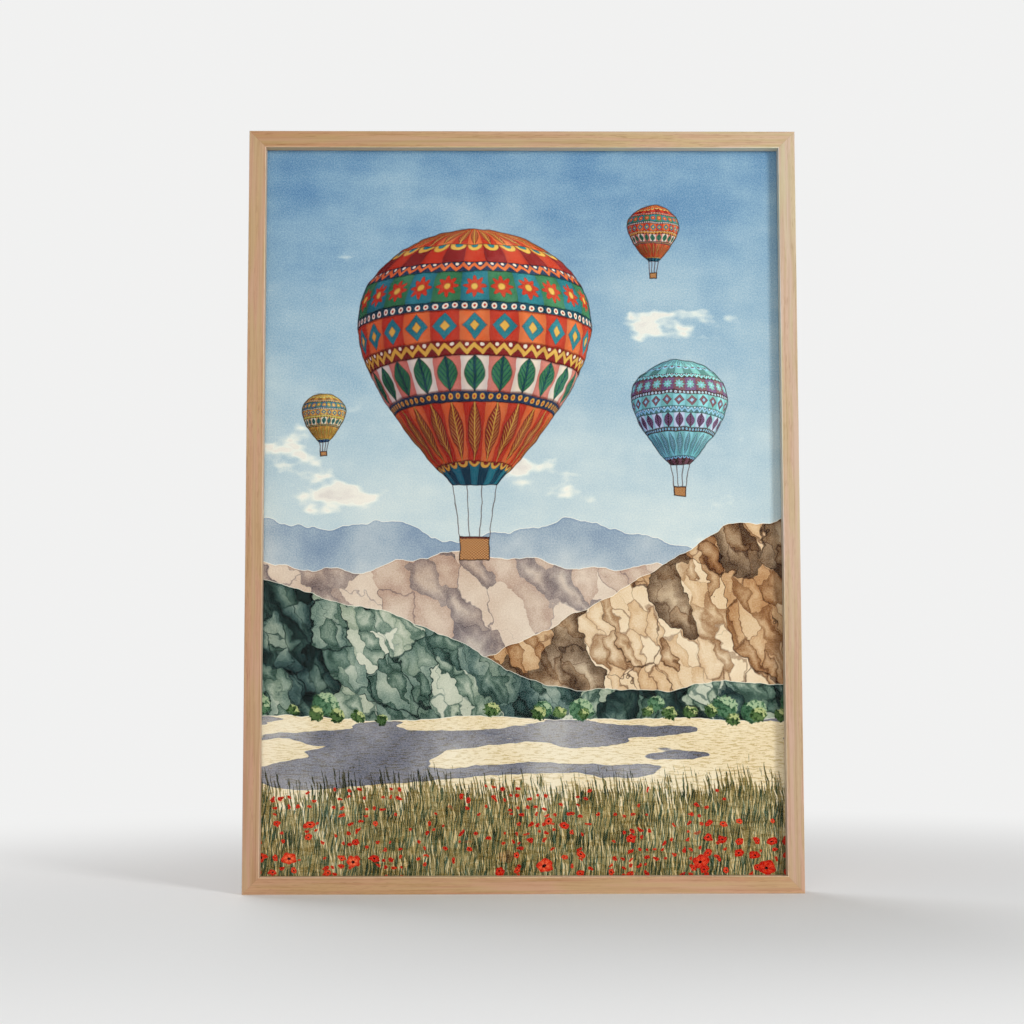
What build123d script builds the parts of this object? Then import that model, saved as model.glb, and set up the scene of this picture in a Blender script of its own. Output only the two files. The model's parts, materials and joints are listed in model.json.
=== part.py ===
from build123d import *
from math import asin, cos, sin
import os

# Framed print: a mitred, rabbeted wood frame that holds a print behind glass. A backing board under
# turn buttons closes it from behind, and two D-ring hangers are there to hang it by.
# Millimetres. The frame stands upright on its bottom rail and faces -Y, with X along its width and
# Z up. The origin is the middle of the bottom rail's underside.

# Sheets in the rabbet, from the front to the back
sheet_width = 500.0
sheet_height = 700.0
glazing_thickness = 2.0
print_thickness = 0.4
foam_thickness = 5.0
backing_thickness = 3.0
sheet_play = 1.0  # from each edge of a sheet to the wood beside it
backing_recess = 0.1  # from the backing board to the back of the rails

# Moulding
face_width = 16.0
lip_cover = 4.0  # how much of the sheets' edge the lip hides
lip_depth = 12.0  # from the front face to the glass
front_ease = 0.7  # radius of the arrises round the front face
back_ease = 0.3

# V-nails across the mitres
nail_leg = 5.2
nail_gauge = 0.5
nail_depth = 10.0
nail_sink = 0.3  # below the wood at the back

# Turn buttons
button_reach = 18.0  # from the pivot to the middle of the round tip
button_pivot_radius = 4.2
button_tip_radius = 3.0
button_gauge = 1.0
button_play = 0.1  # under the button, and again between it and its screw's head
short_rail_spacing = 260.0
long_rail_spacing = 250.0
bead_length = 11.0  # stiffening bead pressed along the button
bead_width = 2.4
bead_height = 0.4

# Thin rods, such as the screws' shanks and the rings' wire, are drawn with this many flats
rod_flats = 12

# Screws
shank_radius = 1.6
shank_length = 9.2
pilot_play = 0.05
hole_play = 0.15  # round the shank, in the buttons and straps
head_radius = 3.1
head_height = 1.7
head_bevel = 1.1

# D-ring hangers, on the side rails
hanger_drop = 190.0  # from the top of the frame to the ring's pivot
strap_width = 6.6
strap_gauge = 0.7
strap_tail = 19.0  # from the pivot to the strap's lower end
strap_hole_drop = 14.2  # from the pivot to the screw
strap_corner = 3.0
wire_radius = 0.8
wire_play = 0.25
ring_side_play = 0.5  # from the strap's edge to the ring's side
ring_side = 4.0  # straight stretch of each side, along the middle of the wire
ring_corner = 1.6
ring_seat_play = 0.15

# Bumper pads at the foot of the side rails
pad_radius = 4.5
pad_thickness = 3.5
pad_bevel = 0.8
pad_height = 24.0  # from the frame's foot to the pad's middle

# Sizes that follow from these
rabbet_width = sheet_width + 2 * sheet_play
outer_width = sheet_width - 2 * lip_cover + 2 * face_width
outer_height = sheet_height - 2 * lip_cover + 2 * face_width
wall = (outer_width - rabbet_width) / 2
stack_depth = glazing_thickness + print_thickness + foam_thickness + backing_thickness
moulding_depth = lip_depth + stack_depth + backing_recess
front_y = -moulding_depth / 2
back_y = moulding_depth / 2
nail_tip = (wall + nail_leg) / 2  # from the outer edges to the bend of the V
fixing_inset = wall / 2  # screws, hangers and pads sit on the middle of the rail's wall
loop_radius = wire_radius + wire_play + strap_gauge
ring_half = strap_width / 2 + ring_side_play + wire_radius
ring_reach = ring_side + ring_half
ring_lean = asin((2 * strap_gauge + ring_seat_play + wire_radius - loop_radius) / ring_reach)
hanger_x = outer_width / 2 - fixing_inset
hanger_z = outer_height - hanger_drop

# Rails: name, middle of the outer edge (x, z), way in from that edge (x, z), length, and the places
# of the turn buttons' pivots along it, from its middle
short_row = (-short_rail_spacing / 2, short_rail_spacing / 2)
long_row = (-long_rail_spacing, 0, long_rail_spacing)
rails = (
    ("bottom", (0, 0), (0, 1), outer_width, short_row),
    ("top", (0, outer_height), (0, -1), outer_width, short_row),
    ("left", (-outer_width / 2, outer_height / 2), (1, 0), outer_height, long_row),
    ("right", (outer_width / 2, outer_height / 2), (-1, 0), outer_height, long_row),
)
sides = (("left", -1), ("right", 1))

# The plane of the frame's back at mid-height. Its normal points into the wood.
back_plane = Plane(origin=(0, back_y, outer_height / 2), x_dir=(1, 0, 0), z_dir=(0, -1, 0))

os.makedirs("parts", exist_ok=True)


def save(piece, name):
    """Labels a finished piece and writes it as the node of that name."""
    piece.part.label = name
    export_step(piece.part, f"parts/{name}.step")


def on_back(x, z, lift=0.0, x_dir=(1, 0, 0)):
    """The plane that lies on the frame's back at x, z, facing out of it, lifted off it by lift."""
    return Plane(origin=(x, back_y + lift, z), x_dir=x_dir, z_dir=(0, 1, 0))


# Turn button pivots: name, x, z, way in
pivots = []
for rail_name, (edge_x, edge_z), (in_x, in_z), _, row in rails:
    for number, place in enumerate(row, 1):
        pivot_x = edge_x + fixing_inset * in_x + place * abs(in_z)
        pivot_z = edge_z + fixing_inset * in_z + place * abs(in_x)
        pivots.append((f"button_{rail_name}_{number}", pivot_x, pivot_z, (in_x, 0, in_z)))

hanger_screw_points = [(sign * hanger_x, hanger_z - strap_hole_drop) for _, sign in sides]

# What is cut into the wood from behind: pilot holes for the screws, and slots for the V-nails
with BuildSketch(back_plane) as pilot_holes:
    screw_points = [(x, z) for _, x, z, _ in pivots] + hanger_screw_points
    with Locations(*[(x, z - outer_height / 2) for x, z in screw_points]):
        Circle(shank_radius + pilot_play)

with BuildSketch() as nail_outline:
    with BuildLine():
        Polyline(
            (nail_tip - nail_leg, nail_tip),
            (nail_tip, nail_tip),
            (nail_tip, nail_tip - nail_leg),
            (nail_tip - nail_gauge, nail_tip - nail_leg),
            (nail_tip - nail_gauge, nail_tip - nail_gauge),
            (nail_tip - nail_leg, nail_tip - nail_gauge),
            close=True,
        )
    make_face()

with BuildSketch(back_plane) as nail_outlines:
    with Locations((-outer_width / 2, -outer_height / 2)):
        add(nail_outline.sketch)
    mirror(about=Plane.YZ)
    mirror(about=Plane.XZ)

# Rails, each one length of moulding cut to a mitre at both ends. In the section, x runs in from the
# outer edge and y back from the front face.
for rail_name, (edge_x, edge_z), (in_x, in_z), length, _ in rails:
    inward = Vector(in_x, 0, in_z)
    along = inward.cross(Vector(0, 1, 0))
    with BuildPart() as rail:
        with BuildSketch(Plane(origin=(edge_x, front_y, edge_z), x_dir=inward, z_dir=along)):
            with BuildLine():
                Polyline(
                    (0, 0),
                    (face_width, 0),
                    (face_width, lip_depth),
                    (wall, lip_depth),
                    (wall, moulding_depth),
                    (0, moulding_depth),
                    close=True,
                )
            make_face()
            fillet(vertices().group_by(Axis.Y)[0], front_ease)
            fillet(vertices().group_by(Axis.Y)[-1], back_ease)
        extrude(amount=length / 2, both=True)
        for end in (-1, 1):
            corner = Vector(edge_x, 0, edge_z) + along * (end * length / 2)
            split(bisect_by=Plane(origin=corner, z_dir=inward + along * end), keep=Keep.BOTTOM)
        extrude(pilot_holes.sketch, amount=shank_length, mode=Mode.SUBTRACT)
        extrude(nail_outlines.sketch, amount=nail_sink + nail_depth, mode=Mode.SUBTRACT)
    save(rail, f"rail_{rail_name}")

# V-nails, driven in from behind until they lie just under the wood
with BuildPart() as v_nails:
    extrude(nail_outlines.sketch, amount=nail_sink + nail_depth)
    split(bisect_by=back_plane.offset(nail_sink), keep=Keep.TOP)
save(v_nails, "v_nails")

# Sheets, stacked against the back of the lip
sheet_y = front_y + lip_depth
for sheet_name, thickness in (
    ("glazing", glazing_thickness),
    ("print_sheet", print_thickness),
    ("foam_board", foam_thickness),
    ("backing_board", backing_thickness),
):
    with BuildPart() as sheet:
        with BuildSketch(Plane(origin=(0, sheet_y, outer_height / 2), x_dir=(1, 0, 0), z_dir=(0, 1, 0))):
            Rectangle(sheet_width, sheet_height)
        extrude(amount=thickness)
    save(sheet, sheet_name)
    sheet_y += thickness

# Turn buttons, closed over the backing board
for button_name, pivot_x, pivot_z, inward in pivots:
    with BuildPart() as button:
        with BuildSketch(on_back(pivot_x, pivot_z, button_play, inward)):
            Circle(button_pivot_radius)
            with Locations((button_reach, 0)):
                Circle(button_tip_radius)
            make_hull()
            Circle(shank_radius + hole_play, mode=Mode.SUBTRACT)
        extrude(amount=button_gauge)
        with BuildSketch(on_back(pivot_x, pivot_z, button_play + button_gauge, inward)):
            with Locations((button_reach, 0)):
                SlotOverall(bead_length, bead_width, align=(Align.MAX, Align.CENTER))
        extrude(amount=bead_height)
    save(button, button_name)

# Screws, pan-headed, with the head's underside at z = 0 and the shank below it
with BuildPart() as screw:
    with BuildSketch():
        RegularPolygon(shank_radius, rod_flats)
    extrude(amount=-shank_length)
    Cylinder(head_radius, head_height, align=(Align.CENTER, Align.CENTER, Align.MIN))
    chamfer(faces().sort_by(Axis.Z)[-1].edges(), head_bevel)

with BuildPart() as button_screws:
    with Locations(*[on_back(x, z, button_gauge + 2 * button_play) for _, x, z, _ in pivots]):
        add(screw.part)
save(button_screws, "button_screws")

with BuildPart() as hanger_screws:
    with Locations(*[on_back(x, z, 2 * strap_gauge) for x, z in hanger_screw_points]):
        add(screw.part)
save(hanger_screws, "hanger_screws")

# Hanger straps: sheet folded double round the ring's wire. In the section, x runs out from the
# frame's back and y up from the pivot.
for side_name, sign in sides:
    with BuildPart() as strap:
        with BuildSketch(Plane(origin=(sign * hanger_x, back_y, hanger_z), x_dir=(0, 1, 0), z_dir=(1, 0, 0))):
            Rectangle(2 * strap_gauge, strap_tail, align=(Align.MIN, Align.MAX))
            with Locations((loop_radius, 0)):
                Circle(loop_radius)
                Circle(wire_radius + wire_play, mode=Mode.SUBTRACT)
        extrude(amount=strap_width / 2, both=True)
        fillet(edges().filter_by(Axis.Y).group_by(Axis.Z)[0], strap_corner)
        with BuildSketch(on_back(sign * hanger_x, hanger_z - strap_hole_drop)):
            Circle(shank_radius + hole_play)
        extrude(amount=2 * strap_gauge, mode=Mode.SUBTRACT)
    save(strap, f"strap_{side_name}")

# D-rings, hanging down over their straps. In the ring's plane, y runs up from the pivot.
for side_name, sign in sides:
    ring_plane = Plane(
        origin=(sign * hanger_x, back_y + loop_radius, hanger_z),
        x_dir=(1, 0, 0),
        z_dir=(0, -cos(ring_lean), -sin(ring_lean)),
    )
    with BuildPart() as ring:
        with BuildLine(ring_plane) as wire:
            bar = Line((-ring_half + ring_corner, 0), (ring_half - ring_corner, 0))
            right_corner = TangentArc(bar @ 1, (ring_half, -ring_corner), tangent=bar % 1)
            right_side = Line(right_corner @ 1, (ring_half, -ring_side))
            bow = TangentArc(right_side @ 1, (-ring_half, -ring_side), tangent=right_side % 1)
            left_side = Line(bow @ 1, (-ring_half, -ring_corner))
            TangentArc(left_side @ 1, bar @ 0, tangent=left_side % 1)
        with BuildSketch(Plane(origin=ring_plane.origin, z_dir=ring_plane.x_dir)):
            RegularPolygon(wire_radius, rod_flats)
        sweep(path=wire.line)
    save(ring, f"ring_{side_name}")

# Bumper pads, stuck on near the lower corners
with BuildPart() as pad:
    Cylinder(pad_radius, pad_thickness, align=(Align.CENTER, Align.CENTER, Align.MIN))
    chamfer(faces().sort_by(Axis.Z)[-1].edges(), pad_bevel)

with BuildPart() as bumper_pads:
    with Locations(*[on_back(sign * hanger_x, pad_height) for _, sign in sides]):
        add(pad.part)
save(bumper_pads, "bumper_pads")
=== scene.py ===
import json
from functools import partialmethod
from math import cos, pi, radians, sin, sqrt

import bmesh
import bpy
import numpy as np
from mathutils import Matrix, Vector


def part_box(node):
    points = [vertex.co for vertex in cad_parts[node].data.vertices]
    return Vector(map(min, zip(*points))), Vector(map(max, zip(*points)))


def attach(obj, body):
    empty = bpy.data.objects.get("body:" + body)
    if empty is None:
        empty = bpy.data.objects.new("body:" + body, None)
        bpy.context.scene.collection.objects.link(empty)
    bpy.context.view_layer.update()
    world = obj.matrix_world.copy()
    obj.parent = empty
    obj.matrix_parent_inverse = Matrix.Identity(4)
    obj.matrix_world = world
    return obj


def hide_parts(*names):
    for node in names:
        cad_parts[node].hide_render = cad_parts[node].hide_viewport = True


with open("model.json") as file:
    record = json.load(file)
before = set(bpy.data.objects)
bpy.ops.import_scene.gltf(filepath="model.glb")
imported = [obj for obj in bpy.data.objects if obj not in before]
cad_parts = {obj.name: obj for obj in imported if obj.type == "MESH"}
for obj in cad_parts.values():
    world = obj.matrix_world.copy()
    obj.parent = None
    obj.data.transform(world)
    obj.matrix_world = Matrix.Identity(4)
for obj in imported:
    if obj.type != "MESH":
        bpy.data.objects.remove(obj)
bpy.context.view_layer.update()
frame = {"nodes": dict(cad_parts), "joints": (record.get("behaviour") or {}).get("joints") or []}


# Camera. It stands in front of the middle of the frame and low down, so that the upright frame has the
# outline that it has when it leans back and is seen from eye level.
camera_place = Vector((-0.0298, -1.85, 0.1976))
camera_pitch, camera_yaw, camera_roll = radians(4.940), radians(0.601), radians(-0.079)
level_ahead = Vector((sin(camera_yaw), cos(camera_yaw), 0)) * cos(camera_pitch)
ahead = level_ahead + Vector((0, 0, sin(camera_pitch)))
level = Vector((cos(camera_yaw), -sin(camera_yaw), 0))
across = level * cos(camera_roll) + level.cross(ahead) * sin(camera_roll)
turn = Matrix((across, across.cross(ahead), -ahead)).transposed()


def added(name, data):
    """A new object in the scene, made of its data."""
    made = bpy.data.objects.new(name, data)
    bpy.context.scene.collection.objects.link(made)
    return made


camera = added("camera", bpy.data.cameras.new("camera"))
camera.data.lens = 68.67
camera.matrix_world = Matrix.Translation(camera_place) @ turn.to_4x4()
bpy.context.scene.camera = camera
bpy.context.scene.view_settings.view_transform = "Standard"


# Rails. Four lengths of light oak moulding, planed straight along the grain, glued at their mitres and
# finished with a clear matt lacquer. Each rail's colour is the wood's tone with painted light in it: it
# grows lighter towards the right, where the lamp is, and up the right rail, which is paler than the left. A
# painted highlight makes the arrises and the lip's inner wall paler.
# Tones with painted light in them: lighter towards the right, where the lamp is, and up the right rail
rail_tones_and_painted_light = {  # at the left end or the foot, and at the other end
    "bottom": ((0.473, 0.297, 0.169), (0.496, 0.320, 0.195)),
    "top": ((0.415, 0.254, 0.130), (0.500, 0.390, 0.258)),
    "left": ((0.471, 0.289, 0.183), (0.470, 0.312, 0.189)),
    "right": ((0.496, 0.342, 0.234), (0.505, 0.419, 0.309)),
}
# Tints for the painted highlight on the arrises and the lip's inner wall, and for the glue lines; the last
# amount on the next line is the painted highlight's strength on the outer arrises
highlight_tint, glue_tint = (1.46, 1.84, 2.30), (0.42, 0.33, 0.26)
rail_face, seam_half, inner_arris, outer_arris, outer_highlight = 16.0, 0.34, 1.1, 0.9, 0.6
board_step = (37.0, 11.0, 500.0)  # from where one rail is cut out of the oak to the next
mm = 1000.0  # in a metre
rail_low, rail_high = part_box("rail_left")
half_width, frame_height, half_depth = -rail_low.x * mm, rail_high.z * mm, rail_high.y * mm


def feed(made, inputs):
    """Feeds a node's inputs, by name or by number: links each to an output, or sets its value."""
    for place, value in inputs.items():
        socket = made.inputs[place]
        if isinstance(value, Amount):
            value = value.socket
        if isinstance(value, bpy.types.NodeSocket):
            made.id_data.links.new(value, socket)
        else:
            socket.default_value = (*value, 1.0) if socket.type == "RGBA" else value


def node(tree, kind, inputs=(), **settings):
    """Adds a shader node of a kind, sets it up, and feeds its inputs, given in order or by name."""
    made = tree.nodes.new("ShaderNode" + kind)
    for name, value in settings.items():
        setattr(made, name, value)
    feed(made, inputs if isinstance(inputs, dict) else dict(enumerate(inputs)))
    return made


class Amount:
    """An amount that varies over a surface. Each sum made with it adds a Math node to its tree."""

    def __init__(self, socket):
        self.socket, self.tree = socket, socket.id_data

    def math(self, operation, *others):
        return Amount(node(self.tree, "Math", (self, *others), operation=operation).outputs[0])

    __add__, __sub__ = partialmethod(math, "ADD"), partialmethod(math, "SUBTRACT")
    __mul__, __truediv__ = partialmethod(math, "MULTIPLY"), partialmethod(math, "DIVIDE")
    __pow__, __abs__ = partialmethod(math, "POWER"), partialmethod(math, "ABSOLUTE")
    most, least = partialmethod(math, "MAXIMUM"), partialmethod(math, "MINIMUM")

    def __rsub__(self, other):
        return Amount(node(self.tree, "Math", (other, self), operation="SUBTRACT").outputs[0])

    def rise(self, low, high, kind="SMOOTHSTEP"):
        """0 below low and 1 above high, with a soft step between."""
        made = node(self.tree, "MapRange", (self, low, high), interpolation_type=kind)
        return Amount(made.outputs[0])


def vector(tree, x=0.0, y=0.0, z=0.0):
    """A place put together from its three parts."""
    return node(tree, "CombineXYZ", (x, y, z)).outputs[0]


def parts_of(tree, whole, kind="XYZ"):
    """The three parts of a place, or of a colour."""
    return [Amount(out) for out in node(tree, "Separate" + kind, (whole,)).outputs]


def noise(tree, place, size, detail=2.0, rough=0.5, dimensions="3D"):
    """Noise whose largest lumps are about size across, in the units of place."""
    inputs = {"Vector": place, "Scale": 1.0 / size, "Detail": detail, "Roughness": rough}
    return Amount(node(tree, "TexNoise", inputs, noise_dimensions=dimensions).outputs[0])


def blend(tree, share, low, high, how="MIX"):
    """Goes from the colour low to the colour high."""
    made = node(tree, "Mix", {0: share, 6: low, 7: high}, data_type="RGBA", blend_type=how)
    return made.outputs[2]


def stain(tree, colour, tint, share=1.0):
    """A colour multiplied by a tint, as far as share says."""
    return blend(tree, share, colour, tint, "MULTIPLY")


def group(name, inputs, outputs):
    """A new node group with these sockets: tuple is a colour, float a number and Vector a place. Gives the
    tree, its inputs in order, and its output node."""
    tree = bpy.data.node_groups.new(name, "ShaderNodeTree")
    kinds = {tuple: "NodeSocketColor", float: "NodeSocketFloat", Vector: "NodeSocketVector"}
    for way, sockets in (("INPUT", inputs), ("OUTPUT", outputs)):
        for socket_name, kind in sockets.items():
            tree.interface.new_socket(socket_name, in_out=way, socket_type=kinds[kind])
    source = tree.nodes.new("NodeGroupInput")
    given = [Amount(out) for out in source.outputs if out.name]
    return tree, given, tree.nodes.new("NodeGroupOutput")


def use(tree, name, inputs):
    """Places a node group, feeds its inputs in order, and gives its outputs in order."""
    made = node(tree, "Group", inputs, node_tree=bpy.data.node_groups[name])
    return [Amount(out) for out in made.outputs]


def material(name, **values):
    """A new material with plain values on its Principled shader. Gives it, its tree and the shader."""
    made = bpy.data.materials.new(name)
    made.use_nodes = True
    shader = made.node_tree.nodes["Principled BSDF"]
    feed(shader, {key.replace("_", " "): value for key, value in values.items()})
    return made, made.node_tree, shader


def millimetres(tree, turned=(0, 0, 0), shift=(0, 0, 0)):
    """Object coordinates in millimetres, turned about the origin and then shifted."""
    place = node(tree, "TexCoord").outputs["Object"]
    inputs = {"Vector": place, "Location": shift, "Rotation": turned, "Scale": (mm, mm, mm)}
    return node(tree, "Mapping", inputs).outputs[0]


def surface(shader, colour, roughness, height, strength, distance):
    """Feeds a finish: its colour, its roughness, and its unevenness, a height in distances of metres."""
    feed(shader, {"Base Color": colour, "Roughness": roughness})
    inputs = {"Strength": strength, "Distance": distance, "Height": height}
    feed(shader, {"Normal": node(shader.id_data, "Bump", inputs).outputs[0]})


def dress(node_name, made):
    """Gives a CAD node its finish."""
    frame["nodes"][node_name].material_slots[0].material = made


def oak_group():
    """Oak, in millimetres, with the grain along Z. Growth rings are noise drawn out 60 times along the
    grain, with finer lines among them; pores are the dark tail of a finer noise drawn out 26 times; broad
    streaks are more golden or more pink."""
    tree, (place, tone), result = group("Oak", {"Place": Vector, "Tone": tuple},
                                        {"Color": tuple, "Roughness": float, "Height": float})
    x, y, z = parts_of(tree, place)
    x = x + (noise(tree, vector(tree, z), 90.0) - 0.5) * 2.5
    rings = noise(tree, vector(tree, x, y, z / 60.0), 3.2, 4.0, 0.62)
    lines = noise(tree, vector(tree, x, y + 90.0, z / 70.0), 1.1, 1.0)
    bands = noise(tree, vector(tree, x, y, z / 40.0), 6.5, 1.0)
    pores = noise(tree, vector(tree, x, y, z / 26.0), 0.42, 1.0)
    flecks = noise(tree, vector(tree, x, y, z / 6.0), 2.2)
    streaks = noise(tree, vector(tree, x + 300.0, y, z / 14.0), 4.6)
    late = rings.rise(0.48, 0.70)
    pore = pores.rise(0.59, 0.69) * bands.rise(0.30, 0.60)
    hue = blend(tree, streaks.rise(0.38, 0.62), (0.98, 1.01, 0.91), (1.03, 0.97, 1.02))
    colour = stain(tree, tone, hue)
    colour = stain(tree, colour, (1.0, 0.93, 0.87), bands.rise(0.32, 0.68))
    colour = stain(tree, colour, (0.80, 0.72, 0.62), late * 0.75)
    colour = stain(tree, colour, (0.82, 0.75, 0.66), lines.rise(0.50, 0.68) * 0.55)
    colour = stain(tree, colour, (1.12, 1.12, 1.10), flecks.rise(0.55, 0.75) * 0.30)
    feed(result, {"Color": stain(tree, colour, (0.52, 0.42, 0.33), pore * 0.50),
                  "Roughness": pore * 0.2 + rings * 0.10 + 0.50,
                  "Height": 1.0 - pore - late * 0.25})


def edges_group():
    """Where the rails meet and end, in millimetres from the outer edges of the frame. The mitre's glue line
    is where the way in from the side equals the way in from the nearer of the top and the bottom. The
    painted highlight lies on the lip's inner wall and the arrises along it, the last of the lesser of the
    two before the face's width, and more weakly on the outer arrises, where both that and the way in from
    the front or the back are small."""
    tree, (place,), result = group("Rail edges", {"Place": Vector}, {"Mitre": float, "Arris": float})
    x, y, z = parts_of(tree, place)
    from_side = half_width - abs(x)
    from_end = z.least(frame_height - z)
    inwards = from_side.least(from_end)
    # Painted highlight on the outer arrises, weaker than on the inner wall
    outer = outer_highlight - inwards.most(half_depth - abs(y)).rise(0.0, outer_arris) * outer_highlight
    feed(result, {"Mitre": 1.0 - abs(from_side - from_end).rise(0.10, seam_half),
                  "Arris": inwards.rise(rail_face - inner_arris, rail_face - 0.2).most(outer)})


oak_group()
edges_group()
for number, (side, (first_lit_tone, last_lit_tone)) in enumerate(rail_tones_and_painted_light.items()):
    oak, tree, shader = material(f"oak_{side}", Specular_IOR_Level=0.42)
    lies_flat = side in ("bottom", "top")
    turned = (0.0, radians(90) if lies_flat else 0.0, 0.0)
    along_grain = millimetres(tree, turned, [step * number for step in board_step])
    place = millimetres(tree)
    x, _, z = parts_of(tree, place)
    share = x.rise(-half_width, half_width, "LINEAR") if lies_flat else z.rise(0.0, frame_height, "LINEAR")
    # The wood's tone with painted light in it, lighter towards the right and up the right rail
    tone = blend(tree, share, first_lit_tone, last_lit_tone)
    colour, roughness, height = use(tree, "Oak", (along_grain, tone))
    mitre, painted_highlight = use(tree, "Rail edges", (place,))
    # Painted highlight: the arrises and the lip's inner wall made paler
    colour = stain(tree, colour, highlight_tint, painted_highlight * 0.8)
    colour = stain(tree, colour, glue_tint, mitre * 0.22)
    surface(shader, colour, roughness, height - mitre * 0.5, 0.35, 0.00008)
    dress(f"rail_{side}", oak)


# Print. Pigment print of a watercolour on rough cotton paper, bled off all four edges: patterned balloons
# over layered hills, a meadow with cloud shadows, and poppies. Washes are transparent, so each one
# multiplies what lies under it by its tint to the power of its density.
sheet_low, sheet_high = (np.array(corner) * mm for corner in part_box("print_sheet"))
wander = 3.2  # how far a painted line strays, from one side to the other
rim_width = 2.2


def paint(red, green, blue):
    """A colour given as it shows on a screen, 0 to 255, made linear by the screen's curve."""
    return tuple(((level / 255 + 0.055) / 1.055) ** 2.4 for level in (red, green, blue))


def powered(tree, tint, density):
    """A tint to the power of a density."""
    return node(tree, "Gamma", (tint, density)).outputs[0]


def wash_group():
    """One wash: its density is the strength, uneven by flow, darker within two millimetres of its rim where
    pigment gathers, and settled into the paper's tooth."""
    inputs = {"Under": tuple, "Tint": tuple, "Depth": float, "Strength": float, "Rim": float, "Flow": float,
              "Tooth": float}
    tree, (under, tint, depth, strength, rim, flow, tooth), result = group("Wash", inputs, {"Color": tuple})
    gathered = Amount(node(tree, "MapRange", (depth, 0.0, rim_width, rim, 0.0)).outputs[0])
    density = (strength * flow + gathered) * tooth * depth.rise(-0.3, 0.4)
    feed(result, {"Color": stain(tree, under, powered(tree, tint, density))})


wash_group()
envelope_height = 2.35  # of a balloon, in its radius
fullness, gores = 1.6, 24
mouth = 0.06  # where the envelope opens, as a share of its height
arch = 0.085  # how far its bands bow upwards in the middle, seen from below


def envelope_radius(height):
    """A balloon's radius at a share of its height: the root of sin(pi h^fullness)."""
    return sqrt(max(sin(pi * height ** fullness), 0.0))


def balloon_group():
    """A balloon seen from the side, in radii from the foot of its axis. It is as wide at height h as
    envelope_radius says; the angle round it is the arc sine of the distance from its axis over that, in
    gores."""
    tree, (x, z), result = group("Balloon", {"X": float, "Z": float},
                                 {"Depth": float, "Around": float, "Height": float, "Shade": float})
    share = z * (1 / envelope_height)
    inside = share.most(0.001).least(0.999)
    angle = inside ** fullness * pi
    wide = angle.math("SINE").math("SQRT")
    slope = angle.math("COSINE") * inside ** (fullness - 1) / wide * (fullness / 2 * pi / envelope_height)
    edge = (wide - abs(x)) / (slope * slope + 1.0).math("SQRT")
    sideways = (x / wide).most(-1.0).least(1.0)
    forward = (1.0 - sideways * sideways).math("SQRT")
    light = sideways * 0.62 + share + forward * 0.30
    feed(result, {"Depth": edge.least(envelope_height - z).least(z - envelope_height * mouth),
                  "Around": sideways.math("ARCSINE") * (gores / (2 * pi)) + 0.5,
                  "Height": share - forward * wide * arch,
                  "Shade": 1.0 - light.rise(-0.10, 1.40, "LINEAR")})


balloon_group()
ramp_steps = 255  # of Cycles' own table of a colour ramp


def steps(tree, place, values):
    """The colour and the fourth value of the band that place lies in. Each stop is half a step of the ramp
    early, so that none is rounded past."""
    made = node(tree, "ValToRGB", (place,))
    made.color_ramp.interpolation = "CONSTANT"
    stops = made.color_ramp.elements
    stops.remove(stops[1])
    for number, (edge, value) in enumerate(zip(band_edges, values)):
        stop = stops.new((edge - 0.5) / ramp_steps) if number else stops[0]
        stop.color = value
    return made.outputs["Color"], Amount(made.outputs["Alpha"])


motifs = ("Rosette", "Dot", "Diamond", "Zigzag", "Leaf", "Scallop")
last_motif = len(motifs) - 1


def motif_group():
    """The motif of a band, repeated once a gore. across and up are measured from the middle of a repeat, in
    widths of it. Each motif and its heart are where a distance is above 0, and kind picks one of them."""
    inputs = {"Across": float, "Up": float, "Aspect": float, "Kind": float}
    tree, (across, up, aspect, kind), result = group("Motif", inputs, {"Shape": float, "Heart": float})
    side = abs(across)
    rise = (up - 0.5) * aspect
    squared = across * across
    ring = (squared + rise * rise).math("SQRT")
    petals = (rise.math("ARCTAN2", across) * 8.0).math("COSINE") * 0.085
    reach = side + abs(up - 0.5)
    wave = abs(up - 0.22 - side * 1.12) * 0.7
    over_wave = up - 0.82
    lens = (up.most(0.0).least(1.0) * pi).math("SINE") * 0.38 - side
    veins = ((side * 1.3 - up * aspect) * 30.0).math("SINE") * 0.25 - 0.19
    drop = (1.0 - up) * aspect
    scallop = (squared + drop * drop).math("SQRT")
    pairs = {"Rosette": (petals + 0.34 - ring, 0.13 - ring),
             "Dot": (0.31 - ring, 0.13 - ring),
             "Diamond": (0.42 - reach, 0.17 - reach),
             "Zigzag": (0.15 - wave, 0.15 - (squared + over_wave * over_wave).math("SQRT")),
             "Leaf": (lens, (0.035 - side).most(veins.least(lens * 0.5 - 0.02))),
             "Scallop": (0.47 - scallop, 0.24 - scallop)}
    found = (0.0, 0.0)
    for number, motif in enumerate(motifs):
        chosen = kind.math("COMPARE", number / last_motif, 0.1)
        found = [chosen.math("MULTIPLY_ADD", drawn, so_far) for drawn, so_far in zip(pairs[motif], found)]
    feed(result, dict(zip(("Shape", "Heart"), found)))


motif_group()
red, orange, crimson = paint(198, 58, 34), paint(228, 112, 56), paint(138, 32, 30)
teal, deep_teal, green = paint(42, 124, 132), paint(20, 70, 86), paint(58, 124, 80)
gold, cream, navy, rose = paint(228, 178, 76), paint(242, 228, 200), paint(40, 58, 86), paint(222, 134, 112)

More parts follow.
